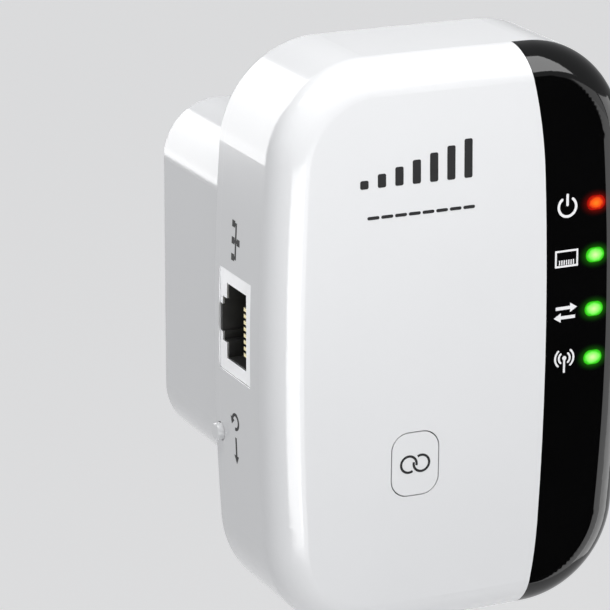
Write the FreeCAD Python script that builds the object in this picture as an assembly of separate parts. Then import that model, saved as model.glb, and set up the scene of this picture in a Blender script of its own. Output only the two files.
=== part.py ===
import FreeCAD, Part

import math
import os

os.makedirs("parts", exist_ok=True)

# A plug-in wireless range extender. Millimetres. The origin is the centre of the plug
# block's rear face, which rests on the wall socket: +Y into the wall, +X right, +Z up.
# Heights named ..._z without another note are measured from the body's centre.

# body
body_width = 61.0
body_height = 90.0
body_corner = 16.0
side_bow = 2.4
top_bow = 0.3
crown_radius = 1125.0
front_fillet = 5.2
rear_fillet = 0.6
cover_wall = 2.2
lip_depth = 2.3
front_bay = 5.45
rib_depth = 1.5
rib_thick = 1.1

# plug block behind the body; its centre is block_rise above the body's centre
block_width = 56.9
block_height = 55.3
block_depth = 25.0
block_corner = 9.0
block_wall = 2.2
block_rise = 2.5
block_edge = 0.6
plug_plate = 2.5
ledge_width = 1.0
power_setback = 4.5

# black panel down the right side of the front
panel_width = 15.6
panel_thick = 1.3
panel_wrap = 6.0
panel_drop = 2.5
panel_curve = 700.0
panel_flat = 28.0
panel_bend = 75.0
stake_radius = 0.9
stake_tail = 0.7
stake_in = 3.5
stake_rows = (27.0, -14.0, -30.0)

# status lights, top to bottom, measured down from the body's top
light_from_side = 7.3
light_drops = (25.0, 33.2, 41.8, 49.6)
light_width = 3.1
light_height = 2.2
light_flange = 0.7
led_width = 1.6
led_depth = 0.8
led_height = 0.8

# pairing button on the front, and its switch
wps_x = -7.0
wps_z = -17.6
wps_width = 7.7
wps_height = 10.0
wps_corner = 2.7
wps_flange = 1.3
wps_stem_radius = 1.6
wps_travel = 0.5
wps_switch_size = 5.2
wps_switch_height = 1.6
wps_plunger_radius = 1.1
wps_plunger_proud = 0.8

# network socket on the left side
jack_z = 2.95
jack_depth = 11.8
jack_height = 16.0
jack_length = 18.0
jack_recess = 0.25
jack_skin = 0.3
socket_depth = 7.3
socket_height = 11.9
socket_front_rim = 1.9
socket_bore = 14.0
latch_wide = 7.0
latch_wide_depth = 1.6
latch_narrow = 4.4
latch_skin = 0.3
contact_count = 8
contact_pitch = 1.02
contact_width = 0.56
contact_thick = 0.35
contact_nose = 0.5
contact_reach = 1.0
contact_length = 7.0

# reset button on the left side, and its switch
reset_z = -15.6
reset_radius = 1.35
reset_edge = 0.27
reset_proud = 1.0
reset_travel = 0.5
reset_arm = 1.4
reset_arm_height = 3.0
reset_switch_size = 4.5
reset_switch_height = 3.6
reset_plunger_width = 1.6
reset_plunger_proud = 0.8

# mains pins
pin_spacing = 18.0
pin_radius = 2.0
pin_round = 1.2
pin_length = 19.0
pin_core = 1.4
sleeve_length = 10.0
sleeve_radius = 1.9
pin_head_radius = 3.2
pin_head = 1.6
pin_tail_radius = 1.1
pin_tail = 4.0

# boards
board_thick = 1.2
board_from_side = 4.3
board_from_end = 13.5
board_corner = 2.0
power_thick = 1.6
sheet_thick = 0.3

# screws
screw_radius = 1.0
head_radius = 2.0
head_height = 1.4
recess_width = 0.5
recess_depth = 0.7
boss_radius = 3.0
post_radius = 2.75
post_bite = 0.5
stub_radius = 2.4
screw_from_side = 10.7
board_screw_in = 3.6
board_screw_down = 2.9
case_screw_length = 11.0
plate_screw_length = 7.0
board_screw_length = 4.5

# vents in the rear cover, above and below the block
vent_count = 7
vent_pitch = 3.4
vent_width = 1.4
vent_height = 6.0

# chips on the rear of the main board, legs counted a side
magnetics = {"x": -3.0, "z": jack_z, "width": 7.0, "height": 12.7, "tall": 4.0, "legs": 8}
processor = {"x": 9.0, "z": -10.0, "width": 10.0, "height": 10.0, "tall": 1.4, "legs": 12}
flash = {"x": -8.0, "z": -13.0, "width": 3.9, "height": 4.9, "tall": 1.6, "legs": 4}
memory = {"x": -9.0, "z": -23.0, "width": 8.0, "height": 10.0, "tall": 1.2, "legs": 10}
chip_standoff = 0.1
leg_reach = 0.9

# other pieces on the rear of the main board; a rise is from its lower end, a ..._below from its upper end
crystal_at = {"x": 9.0, "z": -19.0}
crystal_width = 8.0
crystal_height = 3.6
crystal_tall = 3.4
crystal_base = 0.2
crystal_rim = 0.7
radio_x = 11.0
radio_below = 11.5
shield_size = 18.0
shield_height = 2.6
shield_skin = 0.2
shield_vent = 0.7
radio_chip_size = 6.0
radio_chip_tall = 0.9
choke_rises = (14.5, 9.0)
choke_x = 20.5
choke_size = 4.8
choke_tall = 2.4
choke_neck = 2.0
choke_rim = 0.6
small_can_rows = (-17.5, -24.5)
small_can_x = -16.5
small_can_radius = 2.5
small_can_tall = 5.4
header_x = 20.0
header_rise = 21.0
header_width = 7.4
header_height = 5.8
header_shroud = 4.0
header_tall = 5.6
header_wall = 0.8
header_pitch = 2.5

# antenna strips inside the top of the front cover
antenna_x = 8.6
antenna_length = 15.0
antenna_width = 6.4
antenna_thick = 0.8
antenna_above = 1.2
antenna_behind = 1.5
antenna_slots = 4
antenna_slot = 1.0
antenna_slot_pitch = 3.2
antenna_margin = 2.0

# pieces on the power board; x and z are from the block's centre
core_at = {"x": 0.0, "z": -8.4}
core_width = 13.0
core_tall = 11.0
core_thick = 5.4
core_leg = 3.0
core_standoff = 2.0
bobbin_wall = 0.4
bobbin_flange = 0.8
bobbin_foot = 1.6
coil_thick = 1.9
tall_can_radius = 4.0
input_can_tall = 12.0
output_can_tall = 11.0
input_cans_at = ((-19.5, 9.4), (-19.5, 0.6))
output_can_at = (10.0, -19.0)
can_round = 0.4
can_waist = 0.2
can_waist_at = 0.9
can_waist_width = 0.5
fuse = {"x": -10.0, "z": 17.0}
fuse_radius = 1.6
fuse_length = 9.0
fuse_lead = 0.4
fuse_lead_span = 11.4
fuse_tall = 2.4
bridge = {"x": 3.0, "z": 17.5, "width": 8.2, "height": 6.4, "tall": 2.6}
bridge_leg = 1.2
bridge_leg_at = 2.5
bridge_leg_out = 1.6
supply = {"x": -17.0, "z": -12.0, "width": 6.2, "height": 5.0, "tall": 2.0, "legs": 4}
diode = {"x": 19.0, "z": -13.0, "width": 4.4, "height": 3.6, "tall": 2.3}
diode_leg = 1.4
diode_leg_out = 1.6
disc = {"x": 17.4, "z": 5.0}
disc_radius = 3.6
disc_thick = 2.8
disc_round = 1.0
disc_tall = 5.6
disc_leg = 0.3
disc_leg_at = 2.4
body_standoff = 0.2
foot_thick = 0.5

# leads
wire_radius = 0.8
wire_bend = 2.0
dc_bend = 1.6
dc_run = 5.0
dc_holes = ((12.5, -10.0), (9.5, -10.0))
ac_rise = 8.0
ac_run = 0.3
coax_radius = 0.6
coax_bend = 0.9
coax_spread = 3.0
coax_above = 2.0
coax_end = 4.5

# clearances
seam = 0.05
slip = 0.15
groove = 0.2
loose = 0.1
touch = 0.05
screw_fit = 0.05
board_gap = 0.6
arm_room = 1.2
through = 1.0

# places worked out from the sizes above
body_z = -block_rise
body_depth = lip_depth + seam + jack_depth + board_thick + front_bay + cover_wall
rear_y = -block_depth
lip_y = rear_y - lip_depth
front_y = rear_y - body_depth
half_w = body_width / 2
half_h = body_height / 2
inner_front_y = front_y + cover_wall
jack_rear_y = lip_y - seam
jack_front_y = jack_rear_y - jack_depth
board_rear_y = jack_front_y
socket_front_y = jack_front_y + socket_front_rim
contact_y = jack_front_y + 2 * (jack_skin + touch) + touch
board_front_y = board_rear_y - board_thick
board_half_w = half_w - board_from_side
board_half_h = half_h - board_from_end
radio_z = body_z + board_half_h - radio_below
header_z = body_z - board_half_h + header_rise
power_rear_y = rear_y + power_setback
power_front_y = power_rear_y - power_thick
sheet_front_y = power_front_y - sheet_thick
post_reach = (block_corner - block_wall - post_radius + post_bite) / math.sqrt(2)
post_x = block_width / 2 - block_corner + post_reach
post_z = block_height / 2 - block_corner + post_reach
upper_screw_z = (block_height / 2 + body_z + half_h) / 2
lower_screw_z = (-block_height / 2 + body_z - half_h) / 2
panel_edge_x = half_w - panel_width
light_x = half_w - light_from_side
wps_at_z = body_z + wps_z
jack_at_z = body_z + jack_z
reset_at_z = body_z + reset_z
wps_switch_front = board_front_y - wps_switch_height
wps_plunger_tip = wps_switch_front - wps_plunger_proud
pipe_back_y = board_front_y - led_depth - loose
pin_head_y = -plug_plate - touch
pin_tail_y = pin_head_y - pin_head - pin_tail
antenna_y = inner_front_y + antenna_behind
antenna_top = body_z + board_half_h + antenna_above + antenna_width
core_y = power_rear_y + core_standoff
pilot_radius = screw_radius + screw_fit
bore_radius = screw_radius + slip
sunk_radius = head_radius + slip

case_screw_x = half_w - screw_from_side
case_screws_at = [(s * case_screw_x, z) for s in (-1, 1) for z in (upper_screw_z, lower_screw_z)]
board_screw_x = board_half_w - board_screw_in
board_screw_z = board_half_h - board_screw_down
board_screws_at = [(sx * board_screw_x, body_z + sz * board_screw_z) for sx in (-1, 1) for sz in (-1, 1)]
posts_at = [(sx * post_x, sz * post_z) for sx in (-1, 1) for sz in (-1, 1)]
stakes_at = [(panel_edge_x + stake_in, body_z + row) for row in stake_rows]
lights_at = [(light_x, body_z + half_h - drop) for drop in light_drops]
contact_rows = [jack_at_z + (i - (contact_count - 1) / 2) * contact_pitch for i in range(contact_count)]


def vec(x, y, z):
    return FreeCAD.Vector(x, y, z)


def box(x0, x1, y0, y1, z0, z1):
    return Part.makeBox(x1 - x0, y1 - y0, z1 - z0, vec(x0, y0, z0))


def centred(x, z, width, height, y0, y1):
    """Box centred on x and z, from y0 to y1."""
    return box(x - width / 2, x + width / 2, y0, y1, z - height / 2, z + height / 2)


def bar_x(x0, x1, y0, y1, z, height):
    """Box along X, centred on z."""
    return box(x0, x1, y0, y1, z - height / 2, z + height / 2)


def rod_y(radius, x, z, y0, y1):
    return Part.makeCylinder(radius, y1 - y0, vec(x, y0, z), vec(0, 1, 0))


def rod_x(radius, y, z, x0, x1):
    return Part.makeCylinder(radius, x1 - x0, vec(x0, y, z), vec(1, 0, 0))


def rod_z(radius, x, y, z0, z1):
    return Part.makeCylinder(radius, z1 - z0, vec(x, y, z0), vec(0, 0, 1))


def join(shapes):
    """One solid out of touching pieces."""
    return shapes[0].multiFuse(shapes[1:]).removeSplitter()


def drill(shape, tools):
    return shape.cut(Part.makeCompound(tools))


def drill_through(shape, places, radius, y0, y1):
    """Round holes along Y that run past both faces of a plate."""
    return drill(shape, [rod_y(radius, x, z, y0 - through, y1 + through) for x, z in places])


def round_far_end(shape, radius):
    """Rounds the edge of a rod along Y at its +Y end."""
    return shape.makeFillet(radius, [max(shape.Edges, key=lambda edge: edge.BoundBox.YMin)])


def save(name, shape):
    shape.exportStep("parts/" + name + ".step")


def arc(a, b, c):
    return Part.Arc(vec(a[0], 0, a[1]), vec(b[0], 0, b[1]), vec(c[0], 0, c[1])).toShape()


def line(a, b):
    return Part.LineSegment(a, b).toShape()


def prism(wire, y0, y1):
    wire.translate(vec(0, y0, 0))
    return Part.Face(wire).extrude(vec(0, y1 - y0, 0))


def corner_centre():
    """Centre of the arc that blends the bowed side into the bowed top, then both bows' centres and radii."""
    side_r = (half_h**2 + side_bow**2) / (2 * side_bow)
    top_r = (half_w**2 + top_bow**2) / (2 * top_bow)
    side_x = half_w - side_r
    top_z = half_h - top_r
    side_reach = side_r - body_corner
    top_reach = top_r - body_corner
    span = math.hypot(side_x, top_z)
    along = (span**2 + side_reach**2 - top_reach**2) / (2 * span)
    off = math.sqrt(side_reach**2 - along**2)
    ux = -side_x / span
    uz = top_z / span
    ends = [(side_x + along * ux - s * off * uz, along * uz + s * off * ux) for s in (-1, 1)]
    cx, cz = max(ends, key=sum)
    return cx, cz, side_x, side_r, top_z


def body_outline(inset):
    """The body's outline in X and Z: eight tangent arcs, all moved inwards by inset."""
    cx, cz, side_x, _, top_z = corner_centre()
    radius = body_corner - inset
    to_side = math.atan2(cz, cx - side_x)
    to_top = math.atan2(cz - top_z, cx)
    turns = (to_side, (to_side + to_top) / 2, to_top)
    side, bend, top = [(cx + radius * math.cos(t), cz + radius * math.sin(t)) for t in turns]
    far_x = half_w - inset
    far_z = half_h - inset
    edges = []
    for sx in (1, -1):
        edges.append(arc((sx * side[0], -side[1]), (sx * far_x, 0), (sx * side[0], side[1])))
        edges.append(arc((-top[0], sx * top[1]), (0, sx * far_z), (top[0], sx * top[1])))
        for sz in (1, -1):
            edges.append(arc(*[(sx * x, sz * z) for x, z in (side, bend, top)]))
    wire = Part.Wire(Part.__sortEdges__(edges))
    wire.translate(vec(0, 0, body_z))
    return wire


def rounded_outline(x, z, width, height, radius):
    """Rounded rectangle in X and Z."""
    fx = width / 2 - radius
    fz = height / 2 - radius
    tip = radius / math.sqrt(2)
    edges = []
    for s in (1, -1):
        side = x + s * width / 2
        end = z + s * height / 2
        edges.append(line(vec(side, 0, z - fz), vec(side, 0, z + fz)))
        edges.append(line(vec(x - fx, 0, end), vec(x + fx, 0, end)))
        for t in (1, -1):
            cx = x + s * fx
            cz = z + t * fz
            edges.append(arc((cx + s * radius, cz), (cx + s * tip, cz + t * tip), (cx, cz + t * radius)))
    return Part.Wire(Part.__sortEdges__(edges))


def block_outline(inset):
    width = block_width - 2 * inset
    height = block_height - 2 * inset
    return rounded_outline(0, 0, width, height, block_corner - inset)


def pill(x, z, width, height, y0, y1):
    """Flat-sided oval, wider than tall."""
    straight = (width - height) / 2
    bar = centred(x, z, 2 * straight, height, y0, y1)
    return join([bar] + [rod_y(height / 2, x + s * straight, z, y0, y1) for s in (-1, 1)])


def body_form(inset, y_rear):
    """The body's outer form moved inwards by inset: bowed outline, crowned front, round front edge."""
    block = prism(body_outline(inset), front_y - through, y_rear)
    ball = Part.makeSphere(crown_radius - inset, vec(0, front_y + crown_radius, body_z))
    form = block.common(ball)
    crown = [face for face in form.Faces if isinstance(face.Surface, Part.Sphere)][0]
    return form.makeFillet(front_fillet - inset, crown.Edges)


def panel_zone(gap):
    """Everything right of the panel's edge, a slow curve that bends harder at both ends, to its rear edge."""
    mid_z = body_z - panel_drop
    reach = half_h + panel_drop + through
    slow = panel_curve + gap
    hard = panel_bend + gap
    centre_x = panel_edge_x - panel_curve
    turn = math.asin(panel_flat / panel_curve)
    bend_x = centre_x + (panel_curve - panel_bend) * math.cos(turn)
    bend_z = (panel_curve - panel_bend) * math.sin(turn)
    last = math.asin((reach - bend_z) / hard)
    turns = (turn, (turn + last) / 2, last)
    upper, lower = [
        [(bend_x + hard * math.cos(t), mid_z + s * (bend_z + hard * math.sin(t))) for t in turns]
        for s in (1, -1)
    ]
    corners = [upper[2], (half_w + through, upper[2][1]), (half_w + through, lower[2][1]), lower[2]]
    edges = [line(vec(a[0], 0, a[1]), vec(b[0], 0, b[1])) for a, b in zip(corners, corners[1:])]
    edges += [arc(*upper), arc(upper[0], (centre_x + slow, mid_z), lower[0]), arc(*lower)]
    return prism(Part.Wire(Part.__sortEdges__(edges)), front_y - through, front_y + panel_wrap - gap)


def wall_x(z, inset):
    """How far out the bowed side is at height z above the body's centre."""
    _, _, side_x, side_r, _ = corner_centre()
    return side_x + math.sqrt(side_r**2 - z**2) - inset


def surface_y(x, z, inset):
    """Where the crowned front is at x and z from the body's centre."""
    return front_y + crown_radius - math.sqrt((crown_radius - inset) ** 2 - x**2 - z**2)


jack_face_x = -wall_x(jack_z, jack_recess)
reset_wall_x = -wall_x(reset_z, 0)
reset_inner_x = -wall_x(reset_z, cover_wall)
reset_arm_x = reset_inner_x + slip
reset_tip_x = reset_arm_x + reset_arm + touch
reset_switch_x = reset_tip_x + reset_plunger_proud
reset_plunger_y = board_rear_y + reset_switch_height / 2


def jack_slot(gap):
    """Opening for the network socket, closed at the rear by the rear cover's lip."""
    inner_x = -half_w + 2 * cover_wall
    tall = jack_height + 2 * gap
    return bar_x(-half_w - through, inner_x, jack_front_y - gap, lip_y + through, jack_at_z, tall)


def reset_bore():
    return rod_x(reset_radius + slip, lip_y, reset_at_z, -half_w - through, reset_inner_x + 3 * cover_wall)


def wps_outline(gap):
    return rounded_outline(wps_x, wps_at_z, wps_width + 2 * gap, wps_height + 2 * gap, wps_corner + gap)


def light_windows():
    width = light_width + 2 * loose
    height = light_height + 2 * loose
    return [pill(x, z, width, height, front_y - through, board_front_y) for x, z in lights_at]


def front_cover():
    """Deep white shell: the front, the side walls and the screw bosses."""
    shell = body_form(0, lip_y).cut(body_form(cover_wall, lip_y + through))
    pocket = panel_zone(0).cut(body_form(panel_thick + seam, lip_y))
    inside = body_form(cover_wall - through / 2, lip_y)
    bosses = [rod_y(boss_radius, x, z, front_y, lip_y - loose) for x, z in case_screws_at]
    stubs = [rod_y(stub_radius, x, z, front_y, board_front_y) for x, z in board_screws_at]
    cover = join([shell.cut(pocket)] + [boss.common(inside) for boss in bosses + stubs])
    floor = inner_front_y + through
    holes = [rod_y(pilot_radius, x, z, floor, lip_y) for x, z in case_screws_at + board_screws_at]
    holes += [rod_y(stake_radius + loose, x, z, front_y, floor) for x, z in stakes_at]
    holes += light_windows()
    holes += [jack_slot(loose), reset_bore(), prism(wps_outline(groove), front_y - through, floor)]
    return drill(cover, holes)


def side_panel():
    """Glossy black panel with windows for the lights and heat-staked pins behind."""
    skin = body_form(0, lip_y).cut(body_form(panel_thick, lip_y + through))
    panel = skin.common(panel_zone(seam))
    stakes = [
        rod_y(stake_radius, x, z, surface_y(x, z - body_z, panel_thick / 2), inner_front_y + stake_tail)
        for x, z in stakes_at
    ]
    return drill(join([panel] + stakes), light_windows())


def light_pipe(x, z):
    """Clear oval bar, flush with the panel, with a collar against the cover's inner face."""
    bar = pill(x, z, light_width, light_height, front_y - through, pipe_back_y)
    seat_y = surface_y(x, z - body_z, cover_wall)
    wide = light_width + 2 * light_flange
    tall = light_height + 2 * light_flange
    collar = pill(x, z, wide, tall, seat_y - light_flange, seat_y + 2 * light_flange)
    return join([bar.common(body_form(0, lip_y)), collar.common(body_form(cover_wall + seam, lip_y))])


def wps_button():
    """Cap, stop flange and stem of the pairing button."""
    seat_y = surface_y(wps_x, wps_z, cover_wall)
    back_y = seat_y + wps_flange
    cap = prism(wps_outline(0), front_y - through, back_y).common(body_form(0, lip_y))
    flange = prism(wps_outline(wps_flange), seat_y - through, back_y)
    flange = flange.common(body_form(cover_wall + seam, lip_y))
    stem = rod_y(wps_stem_radius, wps_x, wps_at_z, back_y - through / 2, wps_plunger_tip - touch)
    return join([cap, flange, stem])


def wps_switch_body():
    """Low switch on the front of the main board, open where its plunger runs."""
    case = centred(wps_x, wps_at_z, wps_switch_size, wps_switch_size, wps_switch_front, board_front_y)
    well = rod_y(wps_plunger_radius + touch, wps_x, wps_at_z, wps_plunger_tip, board_front_y - touch)
    return case.cut(well)


def wps_switch_plunger():
    back_y = board_front_y - 2 * touch - wps_travel
    return rod_y(wps_plunger_radius, wps_x, wps_at_z, wps_plunger_tip, back_y)


def reset_button():
    """Round button with an arm that reaches forward to the switch on the main board."""
    shaft = rod_x(reset_radius, lip_y, reset_at_z, reset_wall_x - reset_proud, reset_arm_x + reset_arm)
    shaft = shaft.makeFillet(reset_edge, [min(shaft.Edges, key=lambda edge: edge.BoundBox.XMax)])
    arm_front = reset_plunger_y - reset_plunger_width / 2
    arm = bar_x(reset_arm_x, reset_arm_x + reset_arm, arm_front, lip_y - slip, reset_at_z, reset_arm_height)
    return join([shaft, arm])


def reset_switch_body():
    """Side-push switch standing on the rear of the main board."""
    x1 = reset_switch_x + reset_switch_size
    top = board_rear_y + reset_switch_height
    case = bar_x(reset_switch_x, x1, board_rear_y, top, reset_at_z, reset_switch_size)
    side = reset_plunger_width / 2 + touch
    inner = reset_switch_x + reset_switch_size / 2
    well = bar_x(reset_tip_x, inner, reset_plunger_y - side, reset_plunger_y + side, reset_at_z, 2 * side)
    return case.cut(well)


def reset_switch_plunger():
    side = reset_plunger_width / 2
    inner = reset_switch_x + reset_switch_size / 2 - 2 * touch - reset_travel
    return bar_x(reset_tip_x, inner, reset_plunger_y - side, reset_plunger_y + side, reset_at_z, 2 * side)


def vents():
    slots = []
    for row in (upper_screw_z, lower_screw_z):
        for i in range(vent_count):
            x = (i - (vent_count - 1) / 2) * vent_pitch
            slot = rounded_outline(x, row, vent_width, vent_height, vent_width / 2 - touch)
            slots.append(prism(slot, lip_y - through, rear_y + through))
    return slots


def locating_rib():
    """Rib on the rear cover that centres it in the front cover, open at the socket, button and bosses."""
    front = lip_y - rib_depth
    ring = prism(body_outline(cover_wall + loose), front, lip_y + through)
    ring = ring.cut(prism(body_outline(cover_wall + loose + rib_thick), front - through, lip_y + 2 * through))
    tall = reset_arm_height + 2 * arm_room
    notch = bar_x(-half_w, -half_w / 2, front - through, lip_y, reset_at_z, tall)
    gaps = [rod_y(boss_radius + slip, x, z, front - through, lip_y) for x, z in case_screws_at]
    rib = drill(ring, gaps + [jack_slot(slip), notch])
    return rib.common(centred(0, body_z, body_width, body_height, front, lip_y + seam))


def rear_cover():
    """Rear plate with its lip, and the plug block moulded onto it."""
    plate = prism(body_outline(0), lip_y, rear_y)
    plate = plate.makeFillet(rear_fillet, max(plate.Faces, key=lambda face: face.BoundBox.YMin).Edges)
    plate = plate.fuse(locating_rib())
    block = prism(block_outline(0), lip_y + through, 0)
    block = block.makeFillet(block_edge, max(block.Faces, key=lambda face: face.BoundBox.YMin).Edges)
    cavity = prism(block_outline(block_wall), lip_y - through, -plug_plate)
    seat = prism(block_outline(block_wall - ledge_width), -plug_plate, through)
    posts = [rod_y(post_radius, x, z, power_rear_y, -plug_plate) for x, z in posts_at]
    inside = prism(block_outline(block_wall / 2), power_rear_y, 0)
    cover = join([plate.fuse(block).cut(cavity).cut(seat)] + [post.common(inside) for post in posts])
    holes = [rod_y(pilot_radius, x, z, power_rear_y - through, 0) for x, z in posts_at]
    for x, z in case_screws_at:
        holes.append(rod_y(bore_radius, x, z, lip_y - through, rear_y + through))
        holes.append(rod_y(sunk_radius, x, z, rear_y - head_height - loose, rear_y + through))
    holes.append(reset_bore())
    return drill(cover, holes + vents())


def plug_face():
    """Rear plate of the block, which carries the pins and rests on the wall socket."""
    plate = prism(block_outline(block_wall - ledge_width + loose), -plug_plate, 0)
    pins = [(s * pin_spacing / 2, 0) for s in (-1, 1)]
    plate = drill_through(plate, pins, sleeve_radius + touch, -plug_plate, 0)
    plate = drill_through(plate, posts_at, bore_radius, -plug_plate, 0)
    return drill(plate, [rod_y(sunk_radius, x, z, -head_height - loose, through) for x, z in posts_at])


def mains_pin(x):
    """Solid pin: rounded tip, slim core under the sleeve, head and tail behind the plate."""
    tip = round_far_end(rod_y(pin_radius, x, 0, sleeve_length, pin_length), pin_round)
    core = rod_y(pin_core, x, 0, pin_head_y, sleeve_length)
    head = rod_y(pin_head_radius, x, 0, pin_head_y - pin_head, pin_head_y)
    tail = rod_y(pin_tail_radius, x, 0, pin_tail_y, pin_head_y)
    return join([core, tip, head, tail])


def pin_sleeve(x):
    tube = rod_y(sleeve_radius, x, 0, -plug_plate, sleeve_length - touch)
    return tube.cut(rod_y(pin_core + touch / 2, x, 0, -plug_plate - through, pin_length))


def screw(x, z, seat_y, length, way):
    """Pan-head screw with a cross recess; its head points along way, +1 rear or -1 front."""
    top = seat_y + way * head_height
    tip = seat_y - way * length
    head = rod_y(head_radius, x, z, min(seat_y, top), max(seat_y, top))
    shank = rod_y(screw_radius, x, z, min(tip, seat_y), max(tip, seat_y))
    ends = sorted((top - way * recess_depth, top + way * touch))
    cross = [
        centred(x, z, head_radius, recess_width, ends[0], ends[1]),
        centred(x, z, recess_width, head_radius, ends[0], ends[1]),
    ]
    return drill(join([head, shank]), cross)


def screws(places, seat_y, length, way):
    return [screw(x, z, seat_y, length, way) for x, z in places]


def main_board():
    """Green board behind the front, carrying the lights, the switches and the network socket."""
    outline = rounded_outline(0, body_z, 2 * board_half_w, 2 * board_half_h, board_corner)
    plate = prism(outline, board_front_y, board_rear_y)
    return drill_through(plate, board_screws_at, bore_radius, board_front_y, board_rear_y)


def power_board():
    plate = prism(block_outline(block_wall + board_gap), power_front_y, power_rear_y)
    return drill_through(plate, posts_at, bore_radius, power_front_y, power_rear_y)


def insulation_sheet():
    """Thin film over the solder side of the power board."""
    sheet = prism(block_outline(block_wall + 2 * board_gap), sheet_front_y, power_front_y)
    sheet = drill_through(sheet, posts_at, sunk_radius, sheet_front_y, power_front_y)
    return drill_through(sheet, dc_holes, wire_radius + slip, sheet_front_y, power_front_y)


def socket_opening(gap, x0, x1, rear):
    """The stepped opening that a network plug and its latch go into, its last step as deep as rear."""
    front = socket_front_y - gap
    grow = 2 * gap
    wide_rear = socket_front_y + socket_depth + latch_wide_depth + gap
    return join([
        bar_x(x0, x1, front, front + socket_depth + grow, jack_at_z, socket_height + grow),
        bar_x(x0, x1, front, wide_rear, jack_at_z, latch_wide + grow),
        bar_x(x0, x1, front, rear, jack_at_z, latch_narrow + grow),
    ])


def lan_jack_shield():
    """Plated metal can round the network socket, open at its face and its rear end."""
    x1 = jack_face_x + jack_length
    can = bar_x(jack_face_x, x1, jack_front_y, jack_rear_y, jack_at_z, jack_height)
    front = jack_front_y + jack_skin
    rear = jack_rear_y - jack_skin
    hollow = bar_x(jack_face_x + jack_skin, x1 + through, front, rear, jack_at_z, jack_height - 2 * jack_skin)
    mouth = socket_opening(0, jack_face_x - through, jack_face_x + through, jack_rear_y + through)
    return can.cut(hollow).cut(mouth)


def lan_jack_insert():
    """Black moulding inside the can, with the plug's bore, a slot for each contact and a latch tongue."""
    x0 = jack_face_x + jack_skin + touch
    x1 = jack_face_x + jack_length
    fit = jack_skin + touch
    latch_end = jack_rear_y - fit - latch_skin
    core = bar_x(x0, x1, jack_front_y + fit, jack_rear_y - fit, jack_at_z, jack_height - 2 * fit)
    tongue_x = jack_face_x + through - touch
    tongue_tall = latch_narrow - 2 * touch
    tongue = bar_x(jack_face_x + touch, tongue_x, latch_end, jack_rear_y - touch, jack_at_z, tongue_tall)
    bore = socket_opening(-touch, x0 - through, x0 + socket_bore, latch_end)
    tall = contact_width + 2 * loose
    slot_y = contact_y - touch
    slot_end = socket_front_y + through
    slots = [bar_x(x0 - through, x1 + through, slot_y, slot_end, row, tall) for row in contact_rows]
    return drill(join([core.cut(bore), tongue]), slots)


def lan_contact(z):
    """Spring wire: along the slot to the mouth, round a nose, and back into the plug's way."""
    x0 = jack_face_x + jack_skin + 2 * touch
    tip_y = socket_front_y + contact_reach
    nose_y = tip_y - contact_nose
    run_x = jack_face_x + jack_length - through
    run = bar_x(x0, run_x, contact_y, contact_y + contact_thick, z, contact_width)
    riser = bar_x(x0, x0 + contact_thick, contact_y, nose_y + contact_thick, z, contact_width)
    nose = bar_x(jack_face_x + touch, x0 + contact_thick, socket_front_y + touch, tip_y, z, contact_width)
    start = x0 + contact_thick - touch
    back = start + contact_length
    points = [(start, nose_y), (start, tip_y - touch), (back, tip_y), (back, tip_y - contact_thick)]
    points.append(points[0])
    finger = Part.makePolygon([vec(x, y, z - contact_width / 2) for x, y in points])
    return join([run, riser, nose, Part.Face(finger).extrude(vec(0, 0, contact_width))])


def legged(size, centre_z, board_y):
    """Chip body with a row of legs down each side, standing on board_y."""
    x = size["x"]
    z = centre_z + size["z"]
    body = centred(x, z, size["width"], size["height"], board_y + chip_standoff, board_y + size["tall"])
    pitch = size["height"] / (size["legs"] + 1)
    span = size["width"] + 2 * leg_reach
    bend_y = board_y + size["tall"] / 2
    rows = [z - size["height"] / 2 + pitch * (i + 1) for i in range(size["legs"])]
    return join([body] + [centred(x, row, span, pitch / 2, board_y, bend_y) for row in rows])


def board_chip(size):
    return legged(size, body_z, board_rear_y)


def crystal():
    x = crystal_at["x"]
    z = body_z + crystal_at["z"]
    can = pill(x, z, crystal_width, crystal_height, board_rear_y, board_rear_y + crystal_tall)
    wide = crystal_width + 2 * crystal_rim
    tall = crystal_height + crystal_rim
    return join([can, centred(x, z, wide, tall, board_rear_y, board_rear_y + crystal_base)])


def radio_shield():
    """Pressed can over the radio circuit, with rows of vent holes."""
    x = radio_x
    z = radio_z
    top = board_rear_y + shield_height
    inner = shield_size - 2 * shield_skin
    can = centred(x, z, shield_size, shield_size, board_rear_y, top)
    can = can.cut(centred(x, z, inner, inner, board_rear_y - through, top - shield_skin))
    step = shield_size / 4
    places = [(x + i * step, z + j * step) for i in (-1, 0, 1) for j in (-1, 0, 1)]
    return drill_through(can, places, shield_vent, top - shield_skin, top)


def radio_chip():
    size = radio_chip_size
    return centred(radio_x, radio_z, size, size, board_rear_y, board_rear_y + radio_chip_tall)


def choke(rise):
    """Square drum choke with a waist."""
    z = body_z - board_half_h + rise
    base = centred(choke_x, z, choke_size, choke_size, board_rear_y, board_rear_y + choke_tall)
    waist = rod_y(choke_size, choke_x, z, board_rear_y + choke_rim, board_rear_y + choke_tall - choke_rim)
    return base.cut(waist.cut(rod_y(choke_neck, choke_x, z, board_rear_y, board_rear_y + choke_tall)))


def can_capacitor(x, z, board_y, radius, tall):
    """Round can with a crimped waist near the board and a rounded far end."""
    can = round_far_end(rod_y(radius, x, z, board_y, board_y + tall), can_round)
    low = board_y + can_waist_at
    ring = rod_y(radius + through, x, z, low, low + can_waist_width)
    return can.cut(ring.cut(rod_y(radius - can_waist, x, z, board_y, board_y + tall)))


def dc_header():
    """Two-way plug standing in its shroud on the main board."""
    shroud_y = board_rear_y + header_shroud
    shroud = centred(header_x, header_z, header_width, header_height, board_rear_y, shroud_y)
    wide = header_width - 2 * header_wall
    tall = header_height - 2 * header_wall
    return join([shroud, centred(header_x, header_z, wide, tall, board_rear_y, board_rear_y + header_tall)])


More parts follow.
